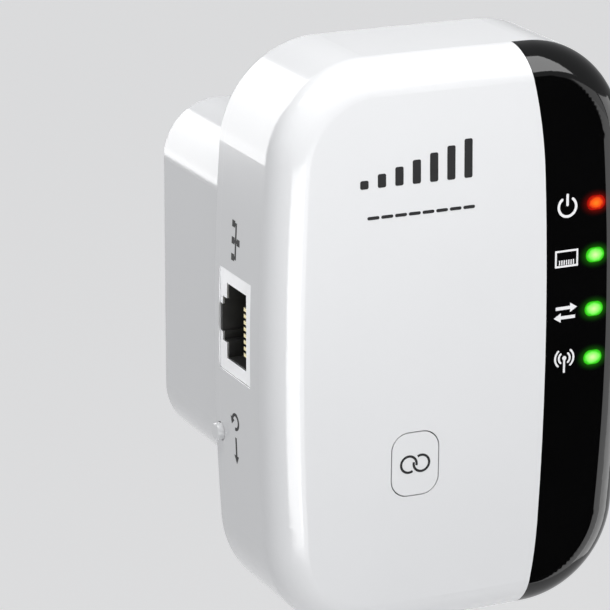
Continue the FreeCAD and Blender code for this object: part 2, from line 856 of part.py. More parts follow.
def status_leds():
    top = board_front_y - led_depth
    return [centred(x, z, led_width, led_height, top, board_front_y) for x, z in lights_at]


def antenna(side):
    """Antenna strip inside the top of the front cover, with a slotted track."""
    x = side * antenna_x
    left = x - antenna_length / 2
    low = antenna_top - antenna_width
    strip = box(left, left + antenna_length, antenna_y, antenna_y + antenna_thick, low, antenna_top)
    y0 = antenna_y - through
    y1 = antenna_y + antenna_thick + through
    slots = []
    for i in range(antenna_slots):
        x0 = left + antenna_margin + i * antenna_slot_pitch
        slots.append(box(x0, x0 + antenna_slot, y0, y1, low + antenna_margin, antenna_top + through))
    return drill(strip, slots)


def bent_lead(points, bend, radius):
    """Round lead along straight runs joined by tangent arcs."""
    edges = []
    start = points[0]
    for before, at, after in zip(points, points[1:], points[2:]):
        inward = (before - at).normalize()
        outward = (after - at).normalize()
        half_turn = inward.getAngle(outward) / 2
        trim = bend / math.tan(half_turn)
        a = at + inward * trim
        b = at + outward * trim
        middle = at + (inward + outward).normalize() * (bend / math.sin(half_turn) - bend)
        edges += [line(start, a), Part.Arc(a, middle, b).toShape()]
        start = b
    edges.append(line(start, points[-1]))
    section = Part.Wire(Part.makeCircle(radius, points[0], points[1] - points[0]))
    return Part.Wire(edges).makePipeShell([section], True, False)


def ac_lead(side):
    """Insulated lead from a pin's tail to the power board."""
    x = side * pin_spacing / 2
    run = (pin_tail_y - power_rear_y) * ac_run
    points = [vec(x, pin_tail_y, 0), vec(x, pin_tail_y - run, 0)]
    points += [vec(x, power_rear_y + run, ac_rise), vec(x, power_rear_y, ac_rise)]
    return bent_lead(points, wire_bend, wire_radius)


def dc_lead(side, hole):
    """Low-voltage lead from the power board to the header on the main board."""
    x, z = hole
    foot = vec(header_x + side * header_pitch / 2, board_rear_y + header_tall, header_z)
    points = [vec(x, power_front_y, z), vec(x, power_front_y - dc_run, z), foot + vec(0, dc_run, 0), foot]
    return bent_lead(points, dc_bend, wire_radius)


def antenna_lead(side):
    """Thin coaxial lead from the radio's corner of the board up to an antenna strip."""
    x = side * antenna_x
    y = board_rear_y + coax_above
    top = body_z + board_half_h
    start = vec(radio_x + side * coax_spread, y, radio_z + shield_size / 2 + slip)
    points = [start, start + vec(0, 0, coax_above), vec(x, y, top + coax_above), vec(x, y, top + coax_end)]
    points.append(vec(x, antenna_y + antenna_thick, top + coax_end))
    return bent_lead(points, coax_bend, coax_radius)


def transformer_core():
    """Ferrite core: two windows with the middle leg between them."""
    x = core_at["x"]
    z = core_at["z"]
    core = centred(x, z, core_width, core_thick, core_y, core_y + core_tall)
    half = core_leg / 2
    window = (core_width - 4 * half) / 2
    low = core_y + half
    high = core_y + core_tall - half
    off = half + window / 2
    return drill(core, [centred(x + s * off, z, window, 2 * core_thick, low, high) for s in (-1, 1)])


def coil_form(outer, inner, y0, y1):
    """Square tube round the core's middle leg; outer and inner are gaps from the leg."""
    x = core_at["x"]
    z = core_at["z"]
    tube = centred(x, z, core_leg + 2 * outer, core_thick + 2 * outer, y0, y1)
    return tube.cut(centred(x, z, core_leg + 2 * inner, core_thick + 2 * inner, y0 - through, y1 + through))


def transformer_bobbin():
    """Moulded former with two flanges, and two feet on the power board."""
    low = core_y + core_leg / 2 + loose
    high = core_y + core_tall - core_leg / 2 - loose
    reach = bobbin_wall + coil_thick
    pieces = [coil_form(bobbin_wall + loose, loose, low, high)]
    pieces += [coil_form(reach + loose, loose, y, y + bobbin_flange) for y in (low, high - bobbin_flange)]
    x = core_at["x"]
    foot_top = low + bobbin_flange
    for s in (-1, 1):
        foot_z = core_at["z"] + s * (core_thick / 2 + reach)
        pieces.append(centred(x, foot_z, core_width, bobbin_foot, power_rear_y, foot_top))
    return join(pieces)


def transformer_winding():
    """Taped winding between the bobbin's flanges."""
    inset = core_leg / 2 + 2 * loose + bobbin_flange
    outer = bobbin_wall + coil_thick - loose
    return coil_form(outer, bobbin_wall + 2 * loose, core_y + inset, core_y + core_tall - inset)


def fuse_resistor():
    """Axial fuse resistor lying along Z on two formed legs."""
    x = fuse["x"]
    z = fuse["z"]
    y = power_rear_y + fuse_tall
    barrel = rod_z(fuse_radius, x, y, z - fuse_length / 2, z + fuse_length / 2)
    rims = [edge for edge in barrel.Edges if isinstance(edge.Curve, Part.Circle)]
    barrel = barrel.makeFillet(fuse_lead, rims)
    tie = rod_z(fuse_lead, x, y, z - fuse_lead_span / 2, z + fuse_lead_span / 2)
    reach = fuse_lead_span / 2 - fuse_lead
    return join([barrel, tie] + [rod_y(fuse_lead, x, z + s * reach, power_rear_y, y) for s in (-1, 1)])


def moulded(size):
    """Plain moulded body held just above the power board."""
    top = power_rear_y + size["tall"]
    return centred(size["x"], size["z"], size["width"], size["height"], power_rear_y + body_standoff, top)


def bridge_rectifier():
    x = bridge["x"]
    z = bridge["z"]
    tall = bridge["height"] + 2 * bridge_leg_out
    top = power_rear_y + foot_thick
    legs = [centred(x + s * bridge_leg_at, z, bridge_leg, tall, power_rear_y, top) for s in (-1, 1)]
    return join([moulded(bridge)] + legs)


def output_diode():
    wide = diode["width"] + 2 * diode_leg_out
    strap = centred(diode["x"], diode["z"], wide, diode_leg, power_rear_y, power_rear_y + foot_thick)
    return join([moulded(diode), strap])


def safety_capacitor():
    """Blue disc capacitor standing on two legs."""
    y = power_rear_y + disc_tall
    x = disc["x"]
    body = rod_x(disc_radius, y, disc["z"], x - disc_thick / 2, x + disc_thick / 2)
    rims = [edge for edge in body.Edges if isinstance(edge.Curve, Part.Circle)]
    body = body.makeFillet(disc_round, rims)
    legs = [rod_y(disc_leg, x, disc["z"] + s * disc_leg_at, power_rear_y, y) for s in (-1, 1)]
    return join([body] + legs)


single_parts = {
    "front_cover": front_cover(),
    "rear_cover": rear_cover(),
    "side_panel": side_panel(),
    "plug_face": plug_face(),
    "power_light_pipe": light_pipe(*lights_at[0]),
    "wps_button": wps_button(),
    "wps_switch_body": wps_switch_body(),
    "wps_switch_plunger": wps_switch_plunger(),
    "reset_button": reset_button(),
    "reset_switch_body": reset_switch_body(),
    "reset_switch_plunger": reset_switch_plunger(),
    "lan_jack_shield": lan_jack_shield(),
    "lan_jack_insert": lan_jack_insert(),
    "main_board": main_board(),
    "power_board": power_board(),
    "insulation_sheet": insulation_sheet(),
    "lan_transformer": board_chip(magnetics),
    "processor_chip": board_chip(processor),
    "flash_chip": board_chip(flash),
    "memory_chip": board_chip(memory),
    "crystal": crystal(),
    "radio_shield": radio_shield(),
    "radio_chip": radio_chip(),
    "dc_header": dc_header(),
    "antenna_left": antenna(-1),
    "antenna_right": antenna(1),
    "transformer_core": transformer_core(),
    "transformer_bobbin": transformer_bobbin(),
    "transformer_winding": transformer_winding(),
    "output_capacitor": can_capacitor(*output_can_at, power_rear_y, tall_can_radius, output_can_tall),
    "fuse_resistor": fuse_resistor(),
    "bridge_rectifier": bridge_rectifier(),
    "supply_chip": legged(supply, 0, power_rear_y),
    "safety_capacitor": safety_capacitor(),
    "output_diode": output_diode(),
}
group_parts = {
    "mains_pins": [mains_pin(s * pin_spacing / 2) for s in (-1, 1)],
    "pin_sleeves": [pin_sleeve(s * pin_spacing / 2) for s in (-1, 1)],
    "lan_contacts": [lan_contact(z) for z in contact_rows],
    "status_light_pipes": [light_pipe(x, z) for x, z in lights_at[1:]],
    "status_leds": status_leds(),
    "case_screws": screws(case_screws_at, rear_y - head_height - loose, case_screw_length, 1),
    "plug_face_screws": screws(posts_at, -head_height - loose, plate_screw_length, 1),
    "power_board_screws": screws(posts_at, power_front_y, board_screw_length, -1),
    "main_board_screws": screws(board_screws_at, board_rear_y, board_screw_length, 1),
    "power_inductors": [choke(rise) for rise in choke_rises],
    "board_capacitors": [
        can_capacitor(small_can_x, body_z + row, board_rear_y, small_can_radius, small_can_tall)
        for row in small_can_rows
    ],
    "input_capacitors": [
        can_capacitor(x, z, power_rear_y, tall_can_radius, input_can_tall)
        for x, z in input_cans_at
    ],
    "ac_leads": [ac_lead(s) for s in (-1, 1)],
    "dc_leads": [dc_lead(s, hole) for s, hole in zip((1, -1), dc_holes)],
    "antenna_leads": [antenna_lead(s) for s in (-1, 1)],
}
for name, shape in single_parts.items():
    save(name, shape)
for name, pieces in group_parts.items():
    save(name, Part.makeCompound(pieces))
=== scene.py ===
import math

import bpy
from mathutils import Matrix, Vector
from mathutils.bvhtree import BVHTree


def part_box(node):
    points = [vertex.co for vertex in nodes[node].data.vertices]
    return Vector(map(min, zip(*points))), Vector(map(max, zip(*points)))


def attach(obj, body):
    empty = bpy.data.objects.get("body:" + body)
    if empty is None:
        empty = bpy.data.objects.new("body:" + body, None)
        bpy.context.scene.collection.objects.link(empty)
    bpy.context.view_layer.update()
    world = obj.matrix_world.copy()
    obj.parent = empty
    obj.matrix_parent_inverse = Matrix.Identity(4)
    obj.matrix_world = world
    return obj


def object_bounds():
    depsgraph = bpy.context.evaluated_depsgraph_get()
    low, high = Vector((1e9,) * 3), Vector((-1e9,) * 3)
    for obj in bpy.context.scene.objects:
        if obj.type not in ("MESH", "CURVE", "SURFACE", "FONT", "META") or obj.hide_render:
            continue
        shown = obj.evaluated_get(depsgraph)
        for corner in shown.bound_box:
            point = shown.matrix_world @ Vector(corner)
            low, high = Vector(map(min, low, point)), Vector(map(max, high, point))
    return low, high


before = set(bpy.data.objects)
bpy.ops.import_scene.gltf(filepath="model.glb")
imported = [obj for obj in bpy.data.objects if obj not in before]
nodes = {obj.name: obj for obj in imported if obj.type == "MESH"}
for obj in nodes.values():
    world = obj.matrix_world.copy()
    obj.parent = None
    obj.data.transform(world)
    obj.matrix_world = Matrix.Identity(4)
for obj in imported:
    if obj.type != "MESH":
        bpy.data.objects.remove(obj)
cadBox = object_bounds()
scene = bpy.context.scene
mm = 0.001
print("frame loaded:", len(nodes), "nodes")


# material helpers

edgeWear = {"full": 0.86, "none": 0.995, "patch": 0.8}  # how far the normals agree, and patch size in mm
glossSpread = 0.2  # how much patchy gloss varies, as a share of the roughness


def addNode(tree, kind, inputs=None, **settings):
    node = tree.nodes.new(kind)
    for key, value in settings.items():
        setattr(node, key, value)
    for key, value in (inputs or {}).items():
        if hasattr(value, "is_output"):
            tree.links.new(value, node.inputs[key])
        else:
            node.inputs[key].default_value = value
    return node


def objectCoords(tree):
    return addNode(tree, "ShaderNodeTexCoord").outputs["Object"]


def surfacePoint(tree, stretch=(1, 1, 1)):
    inputs = {"Vector": objectCoords(tree), "Scale": stretch}
    return addNode(tree, "ShaderNodeMapping", inputs).outputs[0]


def noise(tree, size, detail=3, stretch=(1, 1, 1)):
    # size is the grain's width in millimetres
    inputs = {"Vector": surfacePoint(tree, stretch), "Scale": 1 / (size * mm), "Detail": detail}
    return addNode(tree, "ShaderNodeTexNoise", inputs).outputs["Fac"]


def remap(tree, value, low, high, fromLow=0.3, fromHigh=0.7):
    inputs = {"Value": value, "From Min": fromLow, "From Max": fromHigh, "To Min": low, "To Max": high}
    return addNode(tree, "ShaderNodeMapRange", inputs).outputs[0]


def math2(tree, operation, a, b):
    return addNode(tree, "ShaderNodeMath", {0: a, 1: b}, operation=operation).outputs[0]


def mixColor(tree, share, a, b):
    node = addNode(tree, "ShaderNodeMix", data_type="RGBA")
    for socket, value in ((node.inputs[0], share), (node.inputs[6], a), (node.inputs[7], b)):
        if hasattr(value, "is_output"):
            tree.links.new(value, socket)
        else:
            socket.default_value = value if isinstance(value, float) else (*value, 1)
    return node.outputs[2]


def vectorMath(tree, operation, a, b):
    return addNode(tree, "ShaderNodeVectorMath", {0: a, 1: b}, operation=operation).outputs


def bump(tree, height, depth):
    # depth in millimetres
    inputs = {"Height": height, "Distance": depth * mm}
    return addNode(tree, "ShaderNodeBump", inputs).outputs[0]


def edgeMask(tree, radius):
    # 1 along sharp edges, 0 on open faces
    smooth = addNode(tree, "ShaderNodeBevel", {"Radius": radius * mm}, samples=4).outputs[0]
    plain = addNode(tree, "ShaderNodeNewGeometry").outputs["Normal"]
    agree = vectorMath(tree, "DOT_PRODUCT", smooth, plain)["Value"]
    return remap(tree, agree, 1.0, 0.0, edgeWear["full"], edgeWear["none"])


def shaderOf(material):
    return material.node_tree.nodes["Principled BSDF"]


def feeding(shader, socket):
    # what already drives a socket of the shader
    return shader.inputs[socket].links[0].from_socket


def finish(name, look):
    # one procedural finish: grain, patchy gloss, tone drift and worn edges
    material = bpy.data.materials.new(name)
    material.use_nodes = True
    tree, shader = material.node_tree, shaderOf(material)
    shader.inputs["IOR"].default_value = look.get("ior", 1.5)
    shader.inputs["Metallic"].default_value = look.get("metal", 0.0)
    for socket, value in look.get("sockets", {}).items():
        shader.inputs[socket].default_value = value
    stretch = look.get("stretch", (1, 1, 1))
    patch = noise(tree, look.get("patch", 9.0), 4)
    tone = mixColor(tree, remap(tree, patch, 0.0, 1.0), look["color"], look.get("drift", look["color"]))
    gloss = remap(tree, patch, look["rough"] * (1 - glossSpread), look["rough"] * (1 + glossSpread))
    if "wear" in look:
        edges = edgeMask(tree, look.get("wearWidth", 0.15))
        patchy = remap(tree, noise(tree, edgeWear["patch"]), 0.2, 1.0)
        worn = math2(tree, "MULTIPLY", edges, patchy)
        tone = mixColor(tree, worn, tone, look["wear"])
    tree.links.new(tone, shader.inputs["Base Color"])
    tree.links.new(gloss, shader.inputs["Roughness"])
    grain = noise(tree, look["grain"], 2, stretch)
    tree.links.new(bump(tree, grain, look["depth"]), shader.inputs["Normal"])
    return material


def apply(material, *names):
    for name in names:
        mesh = nodes[name].data
        mesh.materials.clear()
        mesh.materials.append(material)


def newPiece(name, vertices, faces, material):
    mesh = bpy.data.meshes.new(name)
    mesh.from_pydata(vertices, [], faces)
    mesh.validate()
    piece = bpy.data.objects.new(name, mesh)
    scene.collection.objects.link(piece)
    mesh.materials.append(material)
    return piece


# places read from the frame

def centreOf(name):
    low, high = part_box(name)
    return (low + high) / 2


def clusters(name, axis, gap=1.0 * mm):
    # boxes of the separate pieces of a node, told apart along one axis
    points = sorted((v.co for v in nodes[name].data.vertices), key=lambda co: co[axis])
    groups = [[points[0]]]
    for point in points[1:]:
        if point[axis] - groups[-1][-1][axis] > gap:
            groups.append([])
        groups[-1].append(point)
    found = []
    for group in groups:
        low = Vector([min(p[i] for p in group) for i in range(3)])
        high = Vector([max(p[i] for p in group) for i in range(3)])
        found.append((low, high))
    return found


lenses = clusters("power_light_pipe", 2) + clusters("status_light_pipes", 2)
lensCentres = sorted(((low + high) / 2 for low, high in lenses), key=lambda c: -c.z)
bodyCentre = centreOf("front_cover")


# white mouldings

whiteShell = {
    "color": (0.765, 0.77, 0.78), "drift": (0.75, 0.755, 0.765), "rough": 0.12, "patch": 30.0,
    "grain": 1.6, "depth": 0.0025, "ior": 1.5, "wear": (0.83, 0.835, 0.84), "wearWidth": 0.2,
}
apply(finish("shellPlastic", whiteShell), "front_cover", "rear_cover")
capWhite = dict(whiteShell, rough=0.16, grain=1.1)
apply(finish("buttonPlastic", capWhite), "wps_button", "reset_button")
sparkPlate = {
    "color": (0.76, 0.76, 0.77), "drift": (0.73, 0.73, 0.74), "rough": 0.48, "patch": 14.0,
    "grain": 0.22, "depth": 0.02, "wear": (0.80, 0.80, 0.80), "wearWidth": 0.2,
}
apply(finish("sparkErodedPlate", sparkPlate), "plug_face")
print("white mouldings done")


# black panel, with a painted glow around each light

# piano black finish plus a painted glow round the lights: its reach, fade, tints and strength
pianoBlackPaintedGlow = {
    "color": (0.0006, 0.0006, 0.0007), "drift": (0.0009, 0.0009, 0.001), "rough": 0.06, "patch": 22.0,
    "grain": 2.4, "depth": 0.0016, "ior": 1.5,
    "halo": 1.9, "haloStart": 1.3, "haloFall": 2.5,  # mm, mm, and how fast the halo fades
    "red": (1.0, 0.02, 0.005), "green": (0.08, 0.9, 0.02), "glow": 0.16,
}
lensFlatten = 1.35  # a lens is this much wider than it is tall


def lensDistance(tree, centre):
    # distance in millimetres from one light's centre, across the front
    moved = vectorMath(tree, "SUBTRACT", objectCoords(tree), (centre.x, 0, centre.z))[0]
    flat = vectorMath(tree, "MULTIPLY", moved, (1 / mm, 0, lensFlatten / mm))[0]
    return addNode(tree, "ShaderNodeVectorMath", {0: flat}, operation="LENGTH").outputs["Value"]


def panelMaterial(look):
    material = finish("pianoBlackPaintedGlow", look)
    tree, shader = material.node_tree, shaderOf(material)
    inner, outer = look["haloStart"], look["haloStart"] + look["halo"]
    # painted glow: emission fading out from each lens's place across the panel, which is no lamp
    total = None
    for i, centre in enumerate(lensCentres):
        tint = look["red"] if i == 0 else look["green"]
        fall = remap(tree, lensDistance(tree, centre), 1.0, 0.0, inner, outer)
        share = math2(tree, "POWER", fall, look["haloFall"])
        part = mixColor(tree, share, (0.0, 0.0, 0.0), tint)
        total = part if total is None else vectorMath(tree, "ADD", total, part)[0]
    tree.links.new(total, shader.inputs["Emission Color"])
    shader.inputs["Emission Strength"].default_value = look["glow"]
    return material


apply(panelMaterial(pianoBlackPaintedGlow), "side_panel")
print("black panel done")


# lit lenses

redLens = {
    "rim": (0.22, 0.003, 0.001), "core": (1.0, 0.12, 0.008), "coreSize": 1.30,
    "power": 0.95, "rough": 0.12, "grain": 0.5, "depth": 0.004, "wander": 0.08,
}
greenLens = dict(redLens, rim=(0.02, 0.34, 0.006), core=(0.36, 0.98, 0.20), coreSize=1.42)


def lensMaterial(name, look, centres):
    material = bpy.data.materials.new(name)
    material.use_nodes = True
    tree, shader = material.node_tree, shaderOf(material)
    nearest = None
    for centre in centres:
        away = lensDistance(tree, centre)
        nearest = away if nearest is None else math2(tree, "MINIMUM", nearest, away)
    fine = noise(tree, look["grain"], 2)
    wander = math2(tree, "ADD", nearest, remap(tree, fine, -look["wander"], look["wander"]))
    heat = remap(tree, wander, 1.0, 0.0, 0.1, look["coreSize"])
    tree.links.new(mixColor(tree, heat, look["rim"], look["core"]), shader.inputs["Emission Color"])
    tree.links.new(mixColor(tree, heat, look["rim"], look["core"]), shader.inputs["Base Color"])
    tree.links.new(bump(tree, fine, look["depth"]), shader.inputs["Normal"])
    shader.inputs["Emission Strength"].default_value = look["power"]
    shader.inputs["Roughness"].default_value = look["rough"]
    return material


apply(lensMaterial("redLens", redLens, lensCentres[:1]), "power_light_pipe")
apply(lensMaterial("greenLens", greenLens, lensCentres[1:]), "status_light_pipes")
ledEpoxy = {
    "color": (0.75, 0.72, 0.55), "drift": (0.70, 0.66, 0.45), "rough": 0.25, "patch": 1.0,
    "grain": 0.2, "depth": 0.004,
}
apply(finish("ledEpoxy", ledEpoxy), "status_leds")
print("lights done")


# metals

tinPlate = {
    "color": (0.92, 0.92, 0.93), "drift": (0.86, 0.865, 0.875), "rough": 0.34, "patch": 4.0, "metal": 1.0,
    "grain": 0.25, "depth": 0.003, "stretch": (0.06, 1, 1), "wear": (0.85, 0.86, 0.88),
}
nickel = {
    "color": (0.71, 0.68, 0.62), "drift": (0.62, 0.59, 0.53), "rough": 0.20, "patch": 3.0, "metal": 1.0,
    "grain": 0.3, "depth": 0.003, "stretch": (1, 0.05, 1), "wear": (0.82, 0.74, 0.52),
}
goldFlash = {
    "color": (0.96, 0.88, 0.58), "drift": (0.90, 0.78, 0.42), "rough": 0.30, "patch": 1.2, "metal": 1.0,
    "grain": 0.12, "depth": 0.002, "stretch": (0.1, 1, 1),
}
zincScrew = {
    "color": (0.55, 0.56, 0.58), "drift": (0.45, 0.46, 0.50), "rough": 0.34, "patch": 1.4, "metal": 1.0,
    "grain": 0.15, "depth": 0.006, "wear": (0.75, 0.76, 0.78), "wearWidth": 0.1,
}
apply(finish("tinPlate", tinPlate), "lan_jack_shield", "radio_shield", "crystal")
apply(finish("nickelPlate", nickel), "mains_pins")
apply(finish("goldFlash", goldFlash), "lan_contacts")
apply(
    finish("zincScrew", zincScrew),
    "case_screws", "plug_face_screws", "power_board_screws", "main_board_screws",
)
print("metals done")


# dull mouldings, leads and small parts

blackMoulding = {
    "color": (0.018, 0.018, 0.018), "drift": (0.024, 0.024, 0.023), "rough": 0.42, "patch": 3.0,
    "grain": 0.12, "depth": 0.008, "wear": (0.05, 0.05, 0.05), "wearWidth": 0.08,
}
apply(
    finish("blackMoulding", blackMoulding),
    "lan_jack_insert", "wps_switch_body", "reset_switch_body", "transformer_bobbin",
)
apply(finish("sleeveBlack", dict(blackMoulding, rough=0.5, color=(0.02, 0.02, 0.021))), "pin_sleeves")
smallParts = {  # nodes, colour, second colour, roughness, grain and depth in mm
    "plungerNylon": (
        ("wps_switch_plunger", "reset_switch_plunger"),
        (0.72, 0.71, 0.66), (0.66, 0.65, 0.60), 0.4, 0.3, 0.006,
    ),
    "headerNylon": (("dc_header",), (0.78, 0.76, 0.68), (0.70, 0.68, 0.60), 0.42, 0.3, 0.008),
    "fuseCement": (("fuse_resistor",), (0.16, 0.30, 0.20), (0.12, 0.24, 0.16), 0.55, 0.2, 0.015),
    "discEpoxy": (("safety_capacitor",), (0.03, 0.11, 0.42), (0.02, 0.08, 0.34), 0.2, 0.8, 0.02),
    "blueLead": (("ac_leads",), (0.04, 0.10, 0.42), (0.03, 0.08, 0.34), 0.35, 0.4, 0.006),
    "redLead": (("dc_leads",), (0.50, 0.03, 0.02), (0.42, 0.02, 0.02), 0.35, 0.4, 0.006),
    "coaxLead": (("antenna_leads",), (0.02, 0.02, 0.02), (0.03, 0.03, 0.03), 0.32, 0.3, 0.006),
    "sinteredFerrite": (
        ("transformer_core", "power_inductors"),
        (0.06, 0.06, 0.065), (0.10, 0.10, 0.105), 0.5, 0.1, 0.02,
    ),
}
for name, (members, color, drift, rough, grain, depth) in smallParts.items():
    look = {"color": color, "drift": drift, "rough": rough, "grain": grain, "depth": depth, "patch": 2.0}
    apply(finish(name, look), *members)
print("small parts done")


# circuit boards

solderMask = {
    "color": (0.012, 0.13, 0.04), "drift": (0.010, 0.11, 0.035), "rough": 0.28, "patch": 8.0,
    "grain": 0.5, "depth": 0.004, "track": (0.03, 0.24, 0.08), "pitch": 1.3, "raise": 0.03,
    "gap": 0.12, "run": 5.0, "row": 0.5, "shift": 0.37, "squash": 1.6,  # the tracks' maze, in pitches
}
paperBoard = dict(
    solderMask, color=(0.46, 0.31, 0.12), drift=(0.40, 0.26, 0.10), track=(0.34, 0.22, 0.09),
    rough=0.45, pitch=2.6,
)


def boardMaterial(name, look):
    # runs of copper showing through the lacquer as a brick-like maze
    material = finish(name, look)
    tree, shader = material.node_tree, shaderOf(material)
    turn = {"Vector": objectCoords(tree), "Rotation": (math.radians(90), 0, 0)}
    turned = addNode(tree, "ShaderNodeMapping", turn).outputs[0]
    runs = {
        "Vector": turned, "Color1": (1, 1, 1, 1), "Color2": (0.4, 0.4, 0.4, 1), "Mortar": (0, 0, 0, 1),
        "Scale": 1 / (look["pitch"] * mm), "Mortar Size": look["gap"],
        "Brick Width": look["run"], "Row Height": look["row"],
    }
    bricks = addNode(tree, "ShaderNodeTexBrick", runs, offset=look["shift"], squash=look["squash"])
    maze = bricks.outputs["Color"]
    tracked = mixColor(tree, maze, feeding(shader, "Base Color"), look["track"])
    tree.links.new(tracked, shader.inputs["Base Color"])
    tree.links.new(bump(tree, maze, look["raise"]), shader.inputs["Normal"])
    return material


apply(boardMaterial("solderMask", solderMask), "main_board", "antenna_left", "antenna_right")
apply(boardMaterial("paperBoard", paperBoard), "power_board")
print("boards done")


# chips: dull epoxy bodies, tinned legs

chipEpoxy = {
    "color": (0.02, 0.02, 0.021), "drift": (0.03, 0.03, 0.031), "rough": 0.5, "patch": 2.0,
    "grain": 0.09, "depth": 0.01, "legs": (0.70, 0.70, 0.72), "legGloss": 0.3,
}
leggedChips = {  # the axis the legs point along, and the moulded body's share of the half size there
    "lan_transformer": (0, 0.79), "processor_chip": (0, 0.84), "flash_chip": (0, 0.68),
    "memory_chip": (0, 0.81), "supply_chip": (0, 0.77), "output_diode": (0, 0.57),
    "bridge_rectifier": (2, 0.66), "radio_chip": (0, 2.0),
}


def chipMaterial(name, look, axis, share):
    material = finish(name + "_epoxy", look)
    tree, shader = material.node_tree, shaderOf(material)
    low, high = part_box(name)
    edge = (high[axis] - low[axis]) / 2 * share
    along = addNode(tree, "ShaderNodeSeparateXYZ", {0: objectCoords(tree)}).outputs[axis]
    away = math2(tree, "ABSOLUTE", math2(tree, "SUBTRACT", along, centreOf(name)[axis]), 0.0)
    leg = math2(tree, "GREATER_THAN", away, edge)
    base, gloss = feeding(shader, "Base Color"), feeding(shader, "Roughness")
    tree.links.new(mixColor(tree, leg, base, look["legs"]), shader.inputs["Base Color"])
    tree.links.new(leg, shader.inputs["Metallic"])
    mixed = addNode(tree, "ShaderNodeMix", {0: leg, 2: gloss, 3: look["legGloss"]}).outputs[0]
    tree.links.new(mixed, shader.inputs["Roughness"])
    return material


for name, (axis, share) in leggedChips.items():
    apply(chipMaterial(name, chipEpoxy, axis, share), name)
print("chips done")


# cans, film and tape

canSleeve = {
    "color": (0.012, 0.015, 0.035), "drift": (0.018, 0.02, 0.045), "rough": 0.25, "patch": 3.0,
    "grain": 0.6, "depth": 0.01, "top": (0.70, 0.70, 0.71), "rim": 0.25,
}
bareCan = dict(canSleeve, color=(0.68, 0.68, 0.70), drift=(0.60, 0.60, 0.62), metal=1.0)


def canMaterial(name, look, member):
    # shrink sleeve up the side, bare stamped top
    material = finish(name, look)
    tree, shader = material.node_tree, shaderOf(material)
    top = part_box(member)[1].y
    height = addNode(tree, "ShaderNodeSeparateXYZ", {0: objectCoords(tree)}).outputs[1]
    bare = math2(tree, "GREATER_THAN", height, top - look["rim"] * mm)
    capped = mixColor(tree, bare, feeding(shader, "Base Color"), look["top"])
    tree.links.new(capped, shader.inputs["Base Color"])
    if not look.get("metal"):
        tree.links.new(bare, shader.inputs["Metallic"])
    return material


apply(canMaterial("outputSleeve", canSleeve, "output_capacitor"), "output_capacitor")
apply(canMaterial("inputSleeve", canSleeve, "input_capacitors"), "input_capacitors")
apply(canMaterial("bareCan", bareCan, "board_capacitors"), "board_capacitors")
windingTape = {
    "color": (0.78, 0.52, 0.04), "drift": (0.70, 0.45, 0.03), "rough": 0.22, "patch": 3.0,
    "grain": 0.9, "depth": 0.02, "stretch": (1, 0.1, 1),
}
apply(finish("windingTape", windingTape), "transformer_winding")
clearFilm = {
    "color": (0.80, 0.80, 0.74), "drift": (0.76, 0.76, 0.70), "rough": 0.18, "patch": 12.0,
    "grain": 4.0, "depth": 0.01, "sockets": {"Transmission Weight": 0.6},
}
apply(finish("clearFilm", clearFilm), "insulation_sheet")
print("cans, film and tape done")


# printed marks: thin solids laid on the real surface

inkGrey = {
    "color": (0.006, 0.006, 0.007), "drift": (0.010, 0.010, 0.011), "rough": 0.6, "patch": 0.8,
    "grain": 0.08, "depth": 0.003, "sockets": {"Specular IOR Level": 0.25},
}
inkWhite = {
    "color": (0.80, 0.80, 0.81), "drift": (0.74, 0.74, 0.75), "rough": 0.5, "patch": 0.8,
    "grain": 0.08, "depth": 0.003,
}
inkSoft = dict(inkGrey, color=(0.022, 0.022, 0.023), drift=(0.035, 0.035, 0.036))
greyInk = finish("greyInk", inkGrey)
whiteInk = finish("whiteInk", inkWhite)
softInk = finish("softInk", inkSoft)
inkLayer = {"raise": 0.03, "sink": 0.05, "step": 0.9, "start": 100.0}  # mm; start is how far out rays begin
roundEnd, roundCorner = 8, 5  # steps round a ribbon's end and a plate's corner


def arcPoints(x, z, radius, start, end, count):
    return [
        (x + radius * math.cos(math.radians(start + (end - start) * i / count)),
         z + radius * math.sin(math.radians(start + (end - start) * i / count)))
        for i in range(count + 1)
    ]


def ribbon(points, width, closed=False, cap=True):
    # flat band of the given width along a line of points, with round ends
    half = width / 2
    line = []
    for a, b in zip(points, points[1:]):
        parts = max(1, math.ceil(math.dist(a, b) / inkLayer["step"]))
        line += [(a[0] + (b[0] - a[0]) * i / parts, a[1] + (b[1] - a[1]) * i / parts) for i in range(parts)]
    if not closed:
        line.append(points[-1])
    count = len(line)
    corners = []
    for i, (x, z) in enumerate(line):
        before = line[i - 1] if closed or i else line[0]
        after = line[(i + 1) % count] if closed or i < count - 1 else line[-1]
        ax, az = after[0] - before[0], after[1] - before[1]
        long = math.hypot(ax, az)
        nx, nz = -az / long, ax / long
        corners.append((x + nx * half, z + nz * half))
        corners.append((x - nx * half, z - nz * half))
    faces = []
    for i in range(count if closed else count - 1):
        a, b = 2 * i, 2 * ((i + 1) % count)
        faces.append((a + 1, b + 1, b, a))
    if not closed and cap:
        for end in (0, count - 1):
            x, z = line[end]
            near = line[1] if end == 0 else line[-2]
            out = math.degrees(math.atan2(z - near[1], x - near[0]))
            fan = arcPoints(x, z, half, out - 90, out + 90, roundEnd)
            start = len(corners)
            corners += fan[1:-1]
            edge = [2 * end, 2 * end + 1] if end == 0 else [2 * end + 1, 2 * end]
            ring = [edge[0]] + list(range(start, len(corners))) + [edge[1]]
            faces.append(tuple(ring))
    return corners, faces


def plate(x, z, width, height, corner=0.0):
    # flat rectangle, its corners rounded if a radius is given
    half, tall = width / 2, height / 2
    if corner <= 0:
        loop = [(x - half, z - tall), (x + half, z - tall), (x + half, z + tall), (x - half, z + tall)]
    else:
        loop = []
        for sx, sz, start in ((1, -1, -90), (1, 1, 0), (-1, 1, 90), (-1, -1, 180)):
            cx, cz = x + sx * (half - corner), z + sz * (tall - corner)
            loop += arcPoints(cx, cz, corner, start, start + 90, roundCorner)
    return loop, [tuple(range(len(loop)))]


